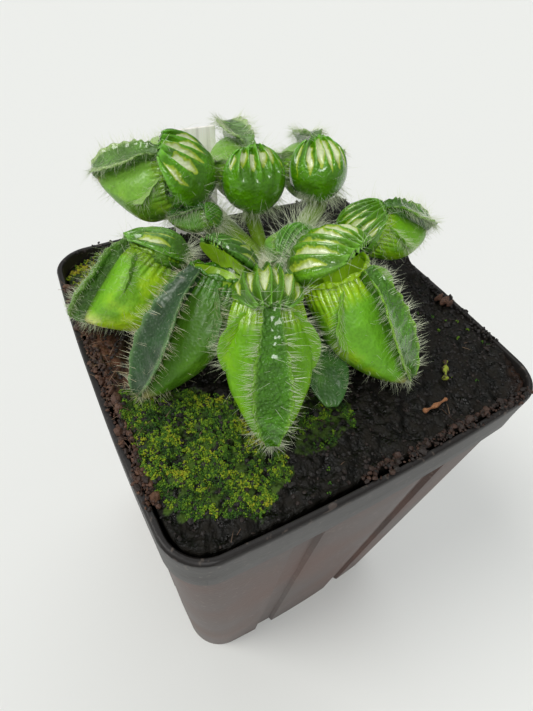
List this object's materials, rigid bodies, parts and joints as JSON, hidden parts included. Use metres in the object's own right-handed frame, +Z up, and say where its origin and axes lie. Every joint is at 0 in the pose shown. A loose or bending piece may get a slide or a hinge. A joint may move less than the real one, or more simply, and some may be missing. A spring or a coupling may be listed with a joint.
{
  "type": "potted pitcher plant",
  "caption": "Low rosette of hairy green pitcher leaves with ribbed, pale-windowed lids, rooted in peat in a deep square black plastic nursery pot with a plant label.",
  "frame": {"origin": "middle of the underside of the pot's floor, at the base that stands on the surface", "axes": "+Z up, +X towards the pot's right corner side and +Y to its back, square with the pot's sides"},
  "size_m": [0.0922, 0.0922, 0.1589],
  "materials": {
    "pot_plastic": "dark brown-black satin nursery-pot plastic, scuffed",
    "leaf_bright": "glossy bright green living leaf with pale windows and fine hairs",
    "leaf_dark": "glossy dark green living leaf",
    "leaf_pale": "satin pale grey-green living leaf with fine hairs",
    "leaf_young": "soft green young leaf, densely hairy",
    "crown_flesh": "yellow-green crown",
    "wet_peat": "wet black peat with patches of moss",
    "label_plastic": "white satin plastic",
    "dead_wood": "dry orange-brown bark",
    "mossy_wood": "dark twig with moss"
  },
  "bodies": {
    "root": {"pot": "pot_plastic", "pitcher_front": "leaf_bright", "pitcher_front_right": "leaf_bright", "pitcher_front_left": "leaf_dark", "pitcher_left": "leaf_bright", "pitcher_back_left": "leaf_pale", "pitcher_back": "leaf_pale", "pitcher_back_right": "leaf_pale", "pitcher_right": "leaf_bright", "young_pitcher_centre": "leaf_young", "young_pitcher_left": "leaf_young", "small_leaf": "leaf_dark", "crown": "crown_flesh", "peat": "wet_peat", "plant_label": "label_plastic", "dry_twig": "dead_wood", "mossy_twig": "mossy_wood", "bark_chip": "dead_wood"}
  },
  "joints": []
}
